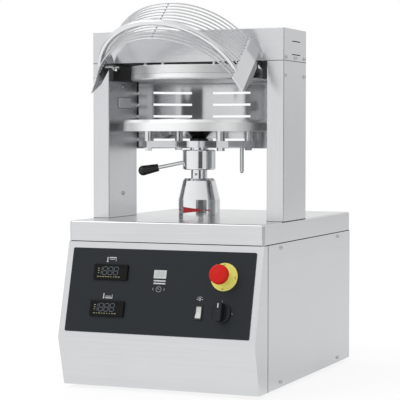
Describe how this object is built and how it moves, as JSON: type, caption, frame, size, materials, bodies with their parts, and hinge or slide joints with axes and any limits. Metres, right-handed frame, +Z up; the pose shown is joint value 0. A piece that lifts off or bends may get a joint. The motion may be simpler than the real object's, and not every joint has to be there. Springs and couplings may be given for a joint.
{
  "type": "pizza dough press",
  "caption": "Counter-top press with heated round plates: the lower plate rises on a ram under a fixed upper plate, a lever collar sets the thickness, and a wire guard swings down.",
  "frame": {"origin": "on the floor, under the middle of the machine's box with the guard raised", "axes": "+Z up, the control panel faces -Y, +X to the right as seen from the front"},
  "size_m": [0.4448, 0.6784, 0.8065],
  "materials": {
    "satin_steel": "satin",
    "bright_steel": "polished",
    "plate_aluminium": "turned",
    "frame_paint": "matt paint",
    "gear_steel": "machined",
    "bronze": "machined",
    "heater": "dark oxide",
    "black_plastic": "matt",
    "overlay": "satin foil",
    "display": "smooth",
    "lens": "frosted",
    "yellow_plastic": "smooth",
    "red_plastic": "smooth",
    "white_plastic": "smooth",
    "rubber": "matt"
  },
  "bodies": {
    "base": {"floor_pan": "satin_steel", "main_frame": "frame_paint", "front_panel": "satin_steel", "left_side_panel": "satin_steel", "right_side_panel": "satin_steel", "rear_panel": "satin_steel", "top_lid": "satin_steel", "rubber_feet": "rubber", "cover_screws": "bright_steel", "control_overlay": "overlay", "upper_controller": "black_plastic", "lower_controller": "black_plastic", "timer_module": "display", "estop_disc": "yellow_plastic", "estop_body": "yellow_plastic", "switch_body": "black_plastic", "rocker_bezel": "black_plastic", "left_column": "satin_steel", "right_column": "satin_steel", "head_beam": "frame_paint", "head_cover": "satin_steel", "frame_bolts": "bright_steel", "rear_shield": "bright_steel", "work_light": "lens", "upper_platen": "plate_aluminium", "upper_heater": "heater", "upper_cover": "plate_aluminium", "upper_studs": "bright_steel", "cone_cover": "bright_steel", "guide_bush": "bronze", "gearmotor": "frame_paint", "bearing_housing": "frame_paint", "control_box": "frame_paint", "hinge_blocks": "black_plastic", "hinge_pins": "bright_steel", "cable_gland": "black_plastic"},
    "ram": {"ram": "bright_steel", "ram_nut": "bronze"},
    "carriage": {"lower_platen": "plate_aluminium", "lower_heater": "heater", "platen_spider": "bright_steel", "platen_studs": "bright_steel", "heat_boss": "heater", "stop_rod": "bright_steel"},
    "collar": {"thickness_collar": "bright_steel", "lever_rod": "bright_steel", "lever_knob": "black_plastic"},
    "guard": {"guard_wires": "bright_steel", "guard_handle": "bright_steel", "guard_cheeks": "bright_steel"},
    "screw": {"lead_screw": "bright_steel", "drive_gear": "gear_steel"},
    "pinion": {"pinion": "gear_steel"},
    "estop_stem": {"estop_stem": "bright_steel"},
    "estop_head": {"estop_head": "red_plastic"},
    "switch_knob": {"switch_knob": "black_plastic"},
    "light_rocker": {"light_rocker": "white_plastic"},
    "timer_key_left": {"timer_key_left": "black_plastic"},
    "timer_key_set": {"timer_key_set": "black_plastic"},
    "timer_key_right": {"timer_key_right": "black_plastic"}
  },
  "joints": [
    {"name": "press_lift", "type": "slide", "parent": "base", "child": "ram", "axis": [0, 0, 1], "range_m": [0, 0.08]},
    {"name": "platen_adjust", "type": "slide", "parent": "ram", "child": "carriage", "axis": [0, 0, 1], "range_m": [-0.002, 0.002]},
    {"name": "collar_turn", "type": "hinge", "parent": "carriage", "child": "collar", "pos_m": [0, -0.0733, 0.48], "axis": [0, 0, 1], "range_deg": [-92, 92]},
    {"name": "guard_tilt", "type": "hinge", "parent": "base", "child": "guard", "pos_m": [0, -0.1392, 0.676], "axis": [1, 0, 0], "range_deg": [0, 49]},
    {"name": "screw_spin", "type": "hinge", "parent": "base", "child": "screw", "pos_m": [0, -0.0733, 0.05], "axis": [0, 0, 1], "range_deg": [-730, 10]},
    {"name": "pinion_spin", "type": "hinge", "parent": "base", "child": "pinion", "pos_m": [0, -0.0013, 0.05], "axis": [0, 0, 1], "range_deg": [-10, 1900]},
    {"name": "estop_push", "type": "slide", "parent": "base", "child": "estop_stem", "axis": [0, 0.9651, -0.2619], "range_m": [0, 0.005]},
    {"name": "estop_twist", "type": "hinge", "parent": "estop_stem", "child": "estop_head", "pos_m": [0.1408, -0.30817, 0.25268], "axis": [0, -0.9651, 0.2619], "range_deg": [-30, 0], "stiffness_Nm_per_rad": 0.1},
    {"name": "switch_turn", "type": "hinge", "parent": "base", "child": "switch_knob", "pos_m": [0.1425, -0.30825, 0.17602], "axis": [0, -0.9651, 0.2619], "range_deg": [-90, 0]},
    {"name": "light_rock", "type": "hinge", "parent": "base", "child": "light_rocker", "pos_m": [0.0924, -0.29794, 0.17198], "axis": [1, 0, 0], "range_deg": [0, 16]},
    {"name": "timer_left_press", "type": "slide", "parent": "base", "child": "timer_key_left", "axis": [0, 0.9651, -0.2619], "range_m": [0, 0.0008], "stiffness_N_per_m": 400},
    {"name": "timer_set_press", "type": "slide", "parent": "base", "child": "timer_key_set", "axis": [0, 0.9651, -0.2619], "range_m": [0, 0.0008], "stiffness_N_per_m": 400},
    {"name": "timer_right_press", "type": "slide", "parent": "base", "child": "timer_key_right", "axis": [0, 0.9651, -0.2619], "range_m": [0, 0.0008], "stiffness_N_per_m": 400}
  ],
  "couplings": [
    {"joint": "screw_spin", "follows": "press_lift", "rad_per_m": -157.08},
    {"joint": "pinion_spin", "follows": "press_lift", "rad_per_m": 408.41},
    {"joint": "collar_turn", "follows": "platen_adjust", "rad_per_m": 785.4}
  ]
}
